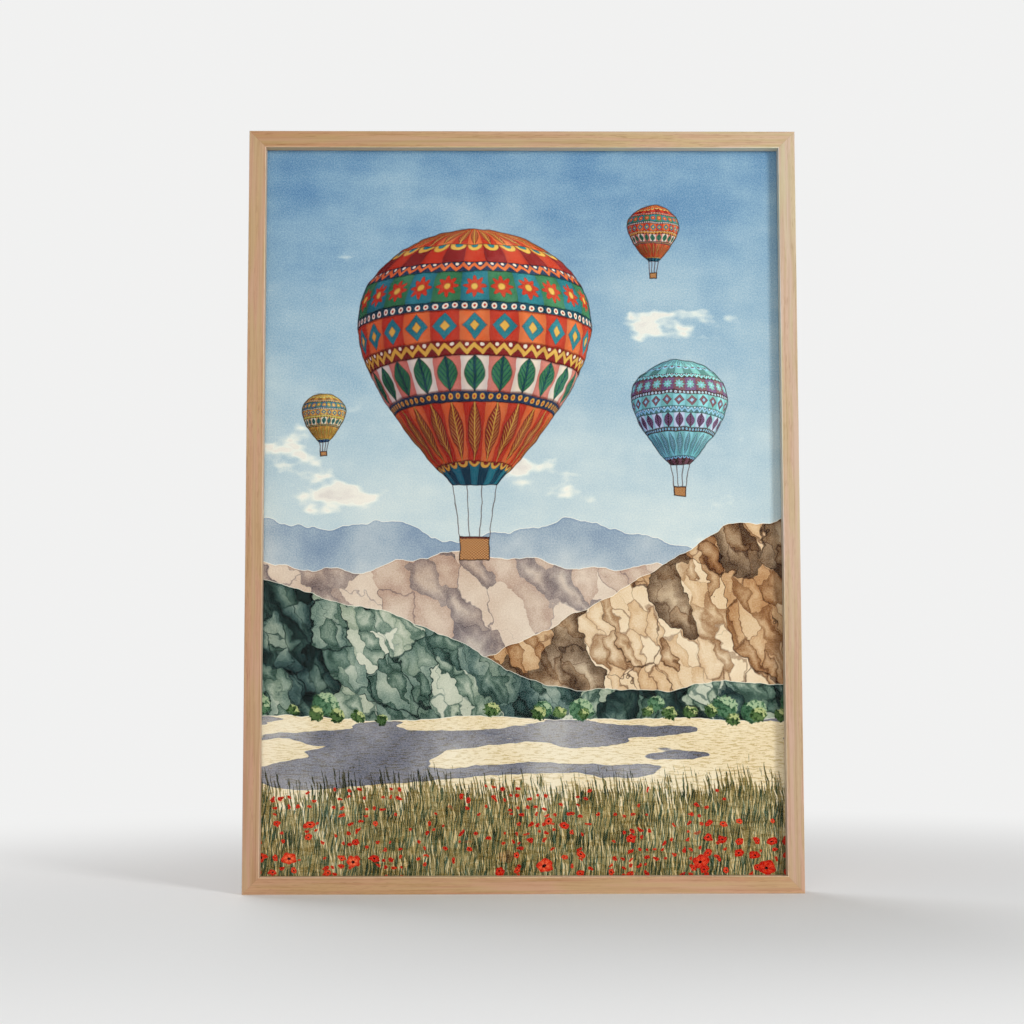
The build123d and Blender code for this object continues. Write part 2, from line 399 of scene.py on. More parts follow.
# Bands from the mouth up: where each starts, in the ramp's steps, its motif, its repeats a gore, and the
# colours of its ground, of every other gore's ground, of its motif and of the motif's heart
bands = (
    (8, "Scallop", 1, teal, deep_teal, gold, crimson),
    (29, "Leaf", 1, red, orange, crimson, gold),
    (77, "Dot", 3, navy, navy, gold, red),
    (85, "Leaf", 1, cream, rose, green, deep_teal),
    (116, "Zigzag", 2, crimson, crimson, gold, cream),
    (128, "Diamond", 1, orange, red, teal, gold),
    (158, "Dot", 3, deep_teal, deep_teal, cream, red),
    (166, "Rosette", 1, teal, green, red, gold),
    (198, "Zigzag", 2, navy, navy, orange, cream),
    (208, "Scallop", 1, red, crimson, gold, teal),
    (230, "Leaf", 1, orange, red, crimson, gold),
)
band_edges = [band[0] for band in bands]
crown_edge = 258  # where the last band would end, a little over the crown


def scatter_group():
    """One thing in each cell of a grid, at most a fifth of a cell off its middle, with its own size from
    0 to 1, its row, and a chance that is higher where a slow noise over the cells is."""
    outputs = {"X": float, "Z": float, "Chance": float, "Size": float, "Row": float}
    tree, (x, z, seed), result = group("Scatter", {"X": float, "Z": float, "Seed": float}, outputs)
    column, row = x.math("FLOOR"), z.math("FLOOR")
    cell = vector(tree, column, row, seed)
    spot = node(tree, "TexWhiteNoise", (cell,))
    sideways, upwards, size = parts_of(tree, spot.outputs["Color"], "Color")
    drifts = noise(tree, cell, 6.0, 1.0).rise(0.3, 0.7, "LINEAR")
    feed(result, {"X": x - column - 0.5 - (sideways - 0.5) * 0.4,
                  "Z": z - row - 0.5 - (upwards - 0.5) * 0.4,
                  "Chance": Amount(spot.outputs["Value"]) * 0.5 + drifts * 0.5,
                  "Size": size,
                  "Row": row + 0.5})


scatter_group()


class Painting:
    """A strip of the sheet while it is painted. x and z are millimetres from the middle of its foot, and
    stray by one or two as a line drawn by hand does. colour is what is painted so far."""
    paper = paint(246, 238, 222)

    def __init__(self, name):
        self.finish, self.tree, self.shader = material(name, Specular_IOR_Level=0.25)
        x, _, z = parts_of(self.tree, millimetres(self.tree, shift=(0.0, 0.0, -sheet_low[2])))
        flat = self.at(x, z)
        inputs = {"Vector": flat, "Scale": 1 / 16, "Detail": 2.0}
        drift = node(self.tree, "TexNoise", inputs, noise_dimensions="2D").outputs["Color"]
        self.drift_x, self.drift_z = (way - 0.5 for way in parts_of(self.tree, drift, "Color")[:2])
        self.x, self.z = x + self.drift_x * wander, z + self.drift_z * wander
        self.grain = self.mottle(flat, 1.4, 2.0, 0.6).rise(0.25, 0.75, "LINEAR")
        self.tooth = self.grain * 0.44 + 0.78
        self.flow = self.mottle(flat, 85.0, 3.0, 0.58).rise(0.28, 0.72, "LINEAR") * 0.8 + 0.6
        self.patches = self.mottle(flat, 24.0, 3.0, 0.6).rise(0.25, 0.75, "LINEAR") * 0.8 + 0.6
        self.colour = self.paper

    def at(self, x, z=0.0):
        """A place on the sheet, in the two parts that flat noise reads."""
        return vector(self.tree, x, z)

    def mottle(self, place, size, detail=2.0, rough=0.5):
        """Noise over the plane of the sheet."""
        return noise(self.tree, place, size, detail, rough, "2D")

    def ridge(self, seed, base, relief, spread):
        """How far below a ridge line a point lies: the line is base plus relief times noise along x."""
        line = self.mottle(self.at(self.x, seed * 713.0), spread, 4.0, 0.48) * (2 * relief)
        return line + (base - relief) - self.z

    def wash(self, tint, depth, strength=1.0, rim=0.3, flow=None):
        """A transparent wash over what is painted so far, wherever depth is above 0."""
        inputs = (self.colour, tint, depth, strength, rim, flow or self.flow, self.tooth)
        self.colour = use(self.tree, "Wash", inputs)[0]

    def cover(self, colour, depth, strength=1.0):
        """Body colour, which hides what is under it."""
        self.colour = blend(self.tree, depth.rise(-0.3, 0.3) * strength, self.colour, colour)

    def hill(self, depth, tint, strength=1.0, rim=0.3):
        """A first wash on bare paper, with a hair of the paper left at its rim."""
        self.colour = blend(self.tree, depth.rise(-0.8, -0.1), self.colour, self.paper)
        self.wash(tint, depth, strength, rim)

    def planes(self, depth, size, stretch, seed, light, dark, crack, strength=1.0):
        """Rock planes: facets of a warped Voronoi pattern drawn out upwards, each with its own tone, and
        dark lines along some of their edges."""
        leaning_x = self.x + self.drift_x * 16.0 + self.z * 0.35 + seed * 60.0
        place = self.at(leaning_x, (self.z + self.drift_z * 16.0) * (1 / stretch))
        inputs = {"Vector": place, "Scale": 1 / size, "Randomness": 0.9}
        cell, edge = (node(self.tree, "TexVoronoi", inputs, voronoi_dimensions="2D", feature=kind)
                      for kind in ("F1", "DISTANCE_TO_EDGE"))
        tone, _, chance = parts_of(self.tree, cell.outputs["Color"], "Color")
        seam = Amount(edge.outputs["Distance"]) * size
        hollow = (1.25 - seam.rise(0.0, size * 0.42)) * strength
        self.wash(light, depth.least((tone - 0.30) * 12.0), hollow * 0.75, 0.15, self.patches)
        self.wash(dark, depth.least((tone - 0.60) * 12.0), hollow * 0.8, 0.2, self.patches)
        self.wash(crack, depth.least(0.35 - seam + (chance - 0.5) * 1.6), strength * 0.7, 0.0)


def paint_sky(sheet):
    """Blue, deeper upwards, round a few clouds left bare."""
    x, z = sheet.x, sheet.z
    streaks = sheet.mottle(sheet.at(x * 0.3 + z * 0.12, z), 26.0, 3.0, 0.6)
    puffs = sheet.mottle(sheet.at(x * 0.5 + 60.0, z), 70.0, 4.0, 0.55)
    cloud = (puffs - 0.60 - abs(z - 430.0) * 0.0006) * 90.0
    deep = z.rise(290.0, 720.0, "LINEAR") ** 1.2 * 0.82 + 0.28
    blue = deep * (1.0 - cloud.rise(-3.0, 3.5) * 0.86) * (streaks * 0.4 + 0.8)
    sheet.wash(paint(118, 160, 204), 5.0, blue, flow=sheet.flow * 0.5 + 0.5)
    sheet.wash(paint(196, 182, 190), cloud - 2.5, cloud.rise(1.0, 9.0) * 0.34, 0.12)


def paint_hills(sheet):
    """Four hills, from the farthest to the nearest."""
    far = sheet.ridge(1.0, 330.0, 36.0, 105.0)
    sheet.hill(far, paint(150, 172, 202), 1.0 - far.rise(0.0, 90.0) * 0.6)
    middle = sheet.ridge(2.0, 302.0, 26.0, 110.0) - abs(sheet.x + 40.0) * 0.05
    sheet.hill(middle, paint(216, 200, 192), 1.0 - middle.rise(0.0, 110.0) * 0.4)
    inks = paint(204, 186, 182), paint(160, 170, 192), paint(134, 132, 148)
    sheet.planes(middle, 26.0, 1.5, 11.0, *inks, 0.6)
    right = sheet.ridge(3.0, 214.0, 26.0, 120.0) + sheet.x.rise(-60.0, 270.0) * 128.0
    sheet.hill(right, paint(232, 213, 190), 1.0, 0.45)
    inks = paint(212, 188, 164), paint(138, 137, 142), paint(94, 80, 74)
    sheet.planes(right, 38.0, 1.9, 23.0, *inks, 0.9)
    inks = paint(222, 200, 178), paint(168, 146, 128), paint(118, 98, 88)
    sheet.planes(right, 13.0, 2.2, 51.0, *inks, 0.6)
    left = sheet.ridge(4.0, 176.0, 20.0, 120.0) + (sheet.x * -1.0).rise(-90.0, 280.0) * 110.0
    sheet.hill(left, paint(190, 200, 192), 1.0, 0.5)
    sheet.planes(left, 34.0, 1.6, 37.0, paint(138, 164, 166), paint(90, 118, 130), paint(48, 66, 70), 0.9)
    sheet.planes(left, 12.0, 1.8, 61.0, paint(168, 186, 176), paint(118, 146, 146), paint(70, 92, 94), 0.6)


def paint_meadow(sheet, inside):
    """Dry grass in perspective, with tufts and the shadows of clouds: how far off a point of it lies goes
    as one over its distance below the horizon."""
    nearness = (225.0 - sheet.z.least(190.0)) ** -1.0
    ground_x, ground_z = sheet.x * nearness * 120.0, nearness * 48600.0
    sheet.hill(inside, paint(240, 229, 207), 0.9)
    tufts = (sheet.mottle(sheet.at(ground_x * 0.6, ground_z * 1.4), 7.0, 3.0, 0.62) - 0.56) * 30.0
    sheet.wash(paint(204, 188, 150), inside.least(tufts), 0.45, 0.1)
    shadow = (sheet.mottle(sheet.at(ground_x * 0.55 + 377.0, ground_z), 120.0, 2.0, 0.4) - 0.54) * 130.0
    shadow = shadow + (sheet.z.least(98.0) - 98.0) * 1.1
    sheet.wash(paint(118, 130, 176), inside.least(shadow), 0.75, 0.2)


def paint_trees(sheet, meadow):
    """Rows of round crowns along the meadow's far edge, darker low on the left and in leafy patches."""
    leafy = (sheet.mottle(sheet.at(sheet.x, sheet.z), 3.4, 2.0, 0.6) - 0.5) * 7.0
    for seed, wide, base, light, dark in ((1.0, 34.0, 5.0, paint(158, 178, 140), paint(96, 138, 124)),
                                          (2.0, 21.0, 6.0, paint(176, 182, 122), paint(88, 124, 96))):
        grid = (sheet.x * (1 / wide), (base - meadow) * (1 / wide), seed)
        x, z, chance, size, _ = use(sheet.tree, "Scatter", grid)
        off = (x * x + z * z * 1.3).math("SQRT")
        crown = (size * 0.14 + 0.24 - off) * wide + leafy
        crown = crown.least(base - meadow).least(meadow - base + wide).least((chance - 0.45) * 90.0)
        shade = (0.10 - x * 0.7 - z) * wide + leafy * 1.6
        sheet.cover(light, crown)
        sheet.wash(dark, crown.least(shade), 0.8, 0.2, sheet.patches)
        sheet.wash(dark, crown.least(leafy * 1.5 - 0.6), 0.55, 0.45)


def paint_grass(sheet):
    """Tall dry grass along the foot, straw and sage over teal shade: streaks of noise drawn out upwards,
    with a ragged top."""
    x, z = sheet.x, sheet.z
    blades = sheet.mottle(sheet.at(x + z * 0.16, z * 0.07), 1.9, 2.0, 0.6)
    stalks = sheet.mottle(sheet.at(x - z * 0.10 + 500.0, z * 0.05), 1.2, 1.0, 0.6)
    grass = 14.0 - z + sheet.mottle(sheet.at(x), 60.0) * 58.0 + blades * 88.0
    sheet.wash(paint(226, 218, 190), grass, 0.9, 0.12)
    sheet.wash(paint(162, 160, 132), grass.least((blades - 0.42) * 20.0), 0.8, 0.15, sheet.patches)
    sheet.wash(paint(92, 130, 140), grass.least((stalks - 0.52) * 22.0), 0.85, 0.10, sheet.patches)


def paint_poppies(sheet):
    """Poppies, larger and nearer row by row: five round petals with folds, and a dark heart. The small ones
    stray the more from their grid."""
    rows = ((3.0, 8.0, 118.0, 0.60), (4.0, 15.0, 88.0, 0.56), (5.0, 30.0, 62.0, 0.48))
    for seed, wide, top, rarity in rows:
        stray = 70.0 / wide
        x, z = sheet.x + sheet.drift_x * stray, sheet.z + sheet.drift_z * stray
        x, z, chance, size, row = use(sheet.tree, "Scatter", (x * (1 / wide), z * (1 / wide), seed))
        ring = (x * x + z * z * 1.4).math("SQRT")
        angle = z.math("ARCTAN2", x) + size * 3.0
        chosen = (chance - rarity - (row * wide).rise(top - 40.0, top)) * 90.0
        petals = ((angle * 5.0).math("COSINE") * 0.018 + size * 0.08 + 0.20 - ring) * wide
        folds = abs((angle * 2.5).math("SINE"))
        flower = petals.least(chosen)
        sheet.cover(paint(238, 122, 78), flower)
        sheet.wash(paint(206, 84, 62), flower, 0.7 - folds * 0.7 + size * 0.7, 0.7)
        sheet.wash(paint(60, 50, 60), flower.least((0.055 - ring) * wide), 1.2, 0.0)


# Left, foot of the axis, radius and turn of hue of each balloon
balloons = ((-46.0, 356.0, 112.0, 0.5), (150.0, 384.0, 46.0, 0.96),
            (-190.0, 410.0, 21.0, 0.56), (126.0, 584.0, 25.0, 0.5))
basket_top, basket_foot, basket_half = -0.30, -0.50, 0.125  # in radii from the foot of the axis


def nearest_balloon(sheet):
    """A point's place in radii from the foot of the axis of the balloon that it is near, that balloon's
    radius and its hue. Far from them all, the place is off any balloon."""
    found = (9.0, 9.0, 1.0, 0.5)
    for left, foot, radius, hue in balloons:
        along, above = (sheet.x - left) * (1 / radius), (sheet.z - foot) * (1 / radius)
        near = abs(along).math("LESS_THAN", 1.06) * abs(above - 0.9).math("LESS_THAN", 1.52)
        found = [near.math("MULTIPLY_ADD", its - so_far, so_far)
                 for its, so_far in zip((along, above, radius, hue), found)]
    return found


def paint_envelopes(sheet, along, above, radius, hue):
    """Each balloon's bands of motifs, dyed to its own hue, with the light from the right, a billow in each
    gore and a dark outline."""
    tree = sheet.tree
    depth, round_axis, height, shade = use(tree, "Balloon", (along, above))
    sizes, colours = [], []
    for (start, motif, repeats, *inks), stop in zip(bands, [*band_edges[1:], crown_edge]):
        share, middle = (stop - start) / ramp_steps, (stop + start) / ramp_steps / 2
        pitch = 2 * pi * envelope_radius(min(middle + arch * 0.8, 0.97)) / gores / repeats
        sizes.append((1 / share, share * envelope_height / pitch, repeats, start / ramp_steps))
        colours.append([(*ink, motifs.index(motif) / last_motif) for ink in inks])
    size, start = steps(tree, height, sizes)
    closeness, aspect, repeats = parts_of(tree, size, "Color")
    (ground, kind), (following, _), (figure, _), (accent, _) = (
        steps(tree, height, inks) for inks in zip(*colours))
    up = (height - start) * closeness
    around = round_axis * repeats
    gore = around.math("FLOOR")
    shape, heart = use(tree, "Motif", (around - gore - 0.5, up, aspect, kind))
    cloth = blend(tree, gore.math("FLOORED_MODULO", 2.0), ground, following)
    cloth = blend(tree, shape.rise(-0.025, 0.025), cloth, figure)
    cloth = blend(tree, heart.rise(-0.025, 0.025), cloth, accent)
    outlines = abs(shape).least(abs(heart)).rise(0.0, 0.035) * 0.6 + 0.4
    border = (up.least(1.0 - up) * aspect).rise(0.0, 0.08)
    cloth = stain(tree, cloth, (0.34, 0.22, 0.22), 1.0 - outlines.least(border))
    fade = {"Hue": hue, "Saturation": 1.0 - abs(hue - 0.5) * 0.8, "Color": cloth}
    dyed = node(tree, "HueSaturation", fade).outputs[0]
    billow = ((round_axis * (2 * pi)).math("COSINE") * 0.5 + 0.5) ** 3.0
    density = sheet.patches * 0.38 + sheet.grain * 0.22 + shade * 0.35 + 0.40
    shadow = powered(tree, paint(150, 140, 172), shade * 0.75 + billow * 0.16)
    rim = depth * radius
    sheet.cover(stain(tree, powered(tree, dyed, density), shadow), rim)
    line = 1.0 - abs(rim - 0.2).rise(0.15, 0.9)
    sheet.colour = stain(tree, sheet.colour, paint(70, 44, 50), line * 0.7)


def paint_baskets(sheet, along, above, radius):
    """A woven basket on four ropes under each mouth: the ropes run straight from its corners to the
    mouth."""
    tree, from_axis = sheet.tree, abs(along)
    body = (basket_half - from_axis).least(basket_top - above).least(above - basket_foot) * radius
    weave = (along * 230.0).math("SINE") * (above * 280.0).math("SINE")
    wicker = blend(tree, weave.rise(-0.4, 0.4), paint(120, 74, 44), paint(196, 142, 88))
    sheet.cover(blend(tree, (basket_top - above).rise(0.015, 0.02), paint(96, 44, 34), wicker), body)
    sheet.colour = stain(tree, sheet.colour, paint(80, 56, 50), 1.0 - abs(body).rise(0.1, 0.9))
    mouth_z, mouth_half = mouth * envelope_height, envelope_radius(mouth)
    spread = (mouth_half - basket_half) / (mouth_z - basket_top)
    fan = (above - basket_top) * spread + basket_half
    strand = abs(from_axis - fan).least(abs(from_axis - fan * 0.35)) * radius
    ropes = (0.5 - strand).least((above - basket_top) * radius).least((mouth_z - above) * radius)
    sheet.cover(paint(84, 62, 58), ropes, 0.85)


# The sheet's face is divided into strips, from these heights up. Each has its own finish, in which only
# what reaches it is painted, and that takes half the time to render.
strips = {"grass": 0.0, "slopes": 132.0, "horizon": 290.0, "sky": 370.0}
finishes = []
for name in strips:
    sheet = Painting(f"watercolour_{name}")
    if name in ("horizon", "sky"):
        paint_sky(sheet)
        balloon = nearest_balloon(sheet)
    if name in ("slopes", "horizon"):
        paint_hills(sheet)
    if name == "slopes":
        meadow = sheet.ridge(5.0, 150.0, 9.0, 170.0)
        paint_meadow(sheet, meadow)
        paint_trees(sheet, meadow)
    if name == "grass":
        paint_meadow(sheet, 150.0 - sheet.z)
        paint_grass(sheet)
        paint_poppies(sheet)
    if name == "sky":
        paint_envelopes(sheet, *balloon)
    if name in ("horizon", "sky"):
        paint_baskets(sheet, *balloon[:3])
    surface(sheet.shader, sheet.colour, 0.85, sheet.grain, 0.25, 0.0002)
    finishes.append(sheet.finish)


def points_at(x, y, z):
    """Points from arrays of their coordinates, in any shapes that fit together."""
    return np.stack(np.broadcast_arrays(x, y, z), -1)


def skinned(name, points, filled_ends, finishes, body, stands_for, crease=40.0):
    """A piece from points[copy][ring][place round], in millimetres: each ring joins the next, and the last
    joins the first, or the first and the last are filled. It is smooth but for creases over an angle. With
    more than one finish, each gap between rings has its own."""
    copies, rings, around = points.shape[:3]
    index = np.arange(copies * rings * around).reshape(copies, rings, around)
    onward = np.roll(index, -1, axis=2)
    corners = [index, onward, np.roll(onward, -1, axis=1), np.roll(index, -1, axis=1)]
    faces = np.stack([corner[:, :rings - 1] if filled_ends else corner for corner in corners], axis=-1)
    gaps = np.arange(faces.shape[1])[:, None] % len(finishes)
    finish_of = np.broadcast_to(gaps, faces.shape[:3]).ravel()
    faces = faces.reshape(-1, 4).tolist()
    if filled_ends:
        faces += index[:, 0, ::-1].tolist() + index[:, -1].tolist()
        finish_of = np.concatenate([finish_of, np.zeros(copies, int), np.full(copies, len(finishes) - 1)])
    mesh = bpy.data.meshes.new(name)
    mesh.from_pydata((points / mm).reshape(-1, 3).tolist(), [], faces)
    mesh.polygons.foreach_set("material_index", finish_of)
    form = bmesh.new()
    form.from_mesh(mesh)
    bmesh.ops.remove_doubles(form, verts=form.verts, dist=1e-7)
    bmesh.ops.recalc_face_normals(form, faces=form.faces)
    form.to_mesh(mesh)
    form.free()
    mesh.shade_smooth()
    mesh.set_sharp_from_angle(angle=radians(crease))
    for finish in finishes:
        mesh.materials.append(finish)
    piece = added(name, mesh)
    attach(piece, body)
    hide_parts(stands_for)


(left, front, foot), (right, behind, top) = sheet_low, sheet_high
outline_x, outline_y = np.array([left, right, right, left]), np.array([front, front, behind, behind])
heights = np.array([*(foot + start for start in strips.values()), top])
sheet_rings = points_at(outline_x, outline_y, heights[:, None])
skinned("print_picture", sheet_rings[None], True, finishes, "frame", "print_sheet")


# Glazing. A sheet of clear picture glass 2 mm thick with a low-reflection coating on both faces. It is cut
# to the print's size, and the boards behind it hold it against the back of the lip.
glass_tint = (0.985, 0.995, 0.99)
glass, tree, shader = material("picture_glass", Transmission_Weight=1.0, Roughness=0.0, IOR=1.22,
                               Base_Color=glass_tint)
rays = node(tree, "LightPath")
through = Amount(rays.outputs["Is Shadow Ray"]).most(Amount(rays.outputs["Is Diffuse Ray"]))


def show(shader, share, other):
    """Mixes a finish with another node's light, as far as share says."""
    tree = shader.id_data
    mixed = node(tree, "MixShader", (share, shader.outputs[0], other.outputs[0]))
    feed(tree.nodes["Material Output"], {"Surface": mixed.outputs[0]})


show(shader, through, node(tree, "BsdfTransparent", (glass_tint,)))
dress("glazing", glass)


# Foam board. A white filler of polystyrene foam between paper faces, 5 mm thick, cut to the print's size
# and laid behind it.
foam, tree, shader = material("foam_core", Specular_IOR_Level=0.3)
grain = noise(tree, millimetres(tree), 0.6)
white = blend(tree, grain, paint(228, 226, 220), paint(244, 243, 240))
surface(shader, white, grain * 0.2 + 0.7, grain, 0.2, 0.00005)
dress("foam_board", foam)


# Backing board. Brown hardboard 3 mm thick, pressed smooth from wood fibres, some of which show lighter
# or darker than the rest.
hardboard, tree, shader = material("hardboard", Specular_IOR_Level=0.35)
place = millimetres(tree)
x, y, z = parts_of(tree, place)
bend = (noise(tree, place, 9.0) - 0.5) * 9.0
fibres = noise(tree, vector(tree, (x + bend) / 5.0, y, z + bend), 0.7, 2.0, 0.6)
crossing = noise(tree, vector(tree, x - bend, y, (z + bend) / 6.0), 0.8, 2.0, 0.6)
mottle = noise(tree, place, 26.0, 4.0, 0.6)
speck = noise(tree, place, 1.3, 1.0)
brown = blend(tree, mottle.rise(0.25, 0.75), paint(149, 110, 75), paint(162, 122, 85))
brown = blend(tree, fibres.rise(0.60, 0.74) * 0.65, brown, paint(196, 160, 118))
brown = blend(tree, crossing.rise(0.62, 0.76) * 0.60, brown, paint(106, 72, 46))
brown = blend(tree, speck.rise(0.70, 0.76) * 0.5, brown, paint(78, 52, 34))
surface(shader, brown, mottle * 0.25 + 0.42, fibres + crossing * 0.6, 0.18, 0.00006)
dress("backing_board", hardboard)


# Turn buttons. Stamped from 1 mm steel with a stiffening bead, nickel-plated, their edges rounded by
# tumbling. Each turns on its own screw.
button_length, heel_radius, tip_radius, hole_radius = 18.0, 4.2, 3.0, 1.75
button_gauge, rolled_edge = 1.0, 0.32
bead_start, bead_stop, bead_half, bead_height = 8.2, 16.8, 1.2, 0.4
tip_steps, heel_steps, flank_steps, top_steps, roll_steps = 26, 34, 12, 26, 9


def plating_group():
    """Bright plating on steel, in millimetres: tumbling marks a few tenths long, a slow cloudiness, and a
    little tarnish where a finer noise is high."""
    inputs = {"Place": Vector, "Tone": tuple, "Dulling": float}
    outputs = {"Color": tuple, "Roughness": float, "Height": float}
    tree, (place, tone, dulling), result = group("Plating", inputs, outputs)
    x, y, z = parts_of(tree, place)
    marks = noise(tree, vector(tree, x, y, z / 4.0), 0.22, 2.0, 0.6)
    cloud = noise(tree, place, 5.0, 3.0, 0.6)
    tarnish = noise(tree, place, 1.6, 4.0, 0.7).rise(0.58, 0.78)
    dull = dulling + (cloud - 0.5) * 0.16 + (marks - 0.5) * 0.12 + tarnish * 0.12
    feed(result, {"Color": stain(tree, tone, (0.80, 0.76, 0.68), tarnish * 0.35 + cloud * 0.2),
                  "Roughness": dull, "Height": marks})


def plated(name, tone, dulling):
    """A plated steel finish."""
    made, tree, shader = material(name, Metallic=1.0)
    surface(shader, *use(tree, "Plating", (millimetres(tree), tone, dulling)), 0.12, 0.00002)
    return made


def arc(angle, radius=1.0):
    """Points on a circle round the origin."""
    return radius * np.stack([np.cos(angle), np.sin(angle)], -1)


def button_points():
    """A button along x with its hole at the origin. Its outline is the hull of two circles. Rings run from
    the hole over the top, round the rolled edge and back underneath. The bead falls from its middle line
    as half a cosine wave."""
    lean = np.arccos((heel_radius - tip_radius) / button_length)
    tip, heel = np.linspace(-lean, lean, tip_steps), np.linspace(lean, 2 * pi - lean, heel_steps)
    tip_arc, heel_arc = arc(tip, tip_radius) + (button_length, 0.0), arc(heel, heel_radius)
    step = np.linspace(0, 1, flank_steps + 2)[1:-1, None]
    outline = np.concatenate([tip_arc, tip_arc[-1] * (1 - step) + heel_arc[0] * step,
                              heel_arc, heel_arc[-1] * (1 - step) + tip_arc[0] * step])
    outward = arc(np.concatenate([tip, np.full(flank_steps, lean), heel, np.full(flank_steps, -lean)]))
    hole = arc(np.arctan2(outline[:, 1], outline[:, 0]), hole_radius)
    rim = outline - outward * rolled_edge
    share, roll = np.linspace(0, 1, top_steps), np.linspace(0, pi, roll_steps + 2)[1:-1]
    top = hole + (rim - hole) * share[:, None, None]
    edge = rim + outward * (rolled_edge * np.sin(roll))[:, None, None]
    middle_of_roll = np.where(roll < pi / 2, button_gauge - rolled_edge, rolled_edge)
    edge_height = middle_of_roll + rolled_edge * np.cos(roll)
    along, aside = np.moveaxis(np.concatenate([top, edge, rim[None], hole[None]]), -1, 0)
    height = np.concatenate([np.full(top_steps, button_gauge), edge_height, [0.0, 0.0]])
    from_bead = np.hypot(along - np.clip(along, bead_start, bead_stop), aside)
    bead = bead_height * (0.5 + 0.5 * np.cos(pi * np.minimum(from_bead / bead_half, 1)))
    bead[top_steps:] = 0.0
    return along, aside, height[:, None] + bead


def pivots(kind):
    """The pivots of all moving pieces of a kind, by their names."""
    return {joint["child"]: np.array(joint["pos_m"]) * mm
            for joint in frame["joints"] if joint["child"].startswith(kind)}


plating_group()
nickel = plated("nickel_plating", (0.74, 0.73, 0.70), 0.27)
along, aside, height = button_points()
inward_ways = {"bottom": (0, 1), "top": (0, -1), "left": (1, 0), "right": (-1, 0)}
for name, pivot in pivots("button").items():
    x_way, z_way = inward_ways[name.split("_")[1]]
    placed = points_at(pivot[0] + along * x_way - aside * z_way, pivot[1] + height,
                       pivot[2] + along * z_way + aside * x_way)
    skinned(name + "_plate", placed[None], False, [nickel], name, name)


# Screws. Pan-headed, zinc-plated, with a cross recess: one through each turn button, and one through each
# hanger's strap.
head_radius, head_height, shank_radius, shank_length = 3.1, 1.7, 1.6, 9.2
head_side, head_rounding, crown_radius, crown_rise, crown_drop = 0.35, 0.55, 2.1, 0.10, 0.03
underside_inset, screw_play = 0.12, 0.1
cross_half, cross_reach = 0.40, 1.45
# Rings of the recess from its rim down: their size as a share of the cross, and their depth
recess = np.array([(1.04, 0.0), (1.0, 0.08), (0.72, 0.95), (0.2, 1.05)])
end_steps, side_steps, dome_steps = 3, 4, 9  # of an arm's half end, of its side, and of the head
strap_gauge, strap_hole_drop = 0.7, 14.2
screw_turn = 2.4  # from the angle at which one screw stopped to the next one's


def screw_points():
    """A screw along z, the head's underside at 0: a pan profile turned round z, then rings that are the
    recess's cross, which in polar form is its reach over the cosine, or its half width over the sine."""
    corner = np.arctan2(cross_half, cross_reach)
    end, side = np.linspace(0, corner, end_steps), np.linspace(corner, pi / 4, side_steps)
    eighth = np.concatenate([end, side[1:]])
    quarter = np.concatenate([eighth, pi / 2 - eighth[-2:0:-1]])
    angle = (quarter + np.arange(4)[:, None] * (pi / 2)).ravel()
    folded = np.tile(np.minimum(quarter, pi / 2 - quarter), 4)
    cross = np.minimum(cross_reach / np.cos(folded), cross_half / np.maximum(np.sin(folded), 1e-6))
    dome = np.linspace(0, pi / 2, dome_steps)
    radius = np.concatenate([[shank_radius, shank_radius, head_radius - underside_inset],
                             head_radius - head_rounding * (1 - np.cos(dome) ** 0.9), [crown_radius]])
    height = np.concatenate([[-shank_length, 0.0, 0.0],
                             head_side + (head_height - head_side - crown_rise) * np.sin(dome),
                             [head_height - crown_drop], head_height - recess[:, 1]])
    return np.concatenate([radius[:, None] + 0 * angle, cross * recess[:, :1]]), angle, height


def screws(name, spots, lift, stands_for):
    """Screws side by side in one piece, each stopped at its own angle."""
    rings, angle, height = screw_points()
    spots = np.array(spots)[:, :, None, None]
    stopped = angle + (np.arange(len(spots)) * screw_turn)[:, None, None]
    placed = points_at(spots[:, 0] + rings * np.cos(stopped), lift + height[:, None],
                       spots[:, 1] - rings * np.sin(stopped))
    skinned(name, placed, True, [zinc], "frame", stands_for, 32.0)


zinc = plated("zinc_plating", (0.70, 0.69, 0.64), 0.30)
buttons = list(pivots("button").values())
screws("button_screw_heads", [(x, z) for x, _, z in buttons], buttons[0][1] + button_gauge + screw_play,
       "button_screws")
screws("hanger_screw_heads", [(x, z - strap_hole_drop) for x, _, z in pivots("ring").values()],
       half_depth + 2 * strap_gauge, "hanger_screws")


# D-ring hangers. Nickel-plated steel: each strap is folded double round the bar of a ring bent from 1.6 mm
# wire, which hangs against it.
wire_radius, ring_half, ring_side, ring_corner, ring_lean = 0.8, 4.6, 4.0, 1.6, 0.0695
bar_steps, corner_steps, straight_steps, bow_steps, wire_steps = 8, 8, 3, 34, 16


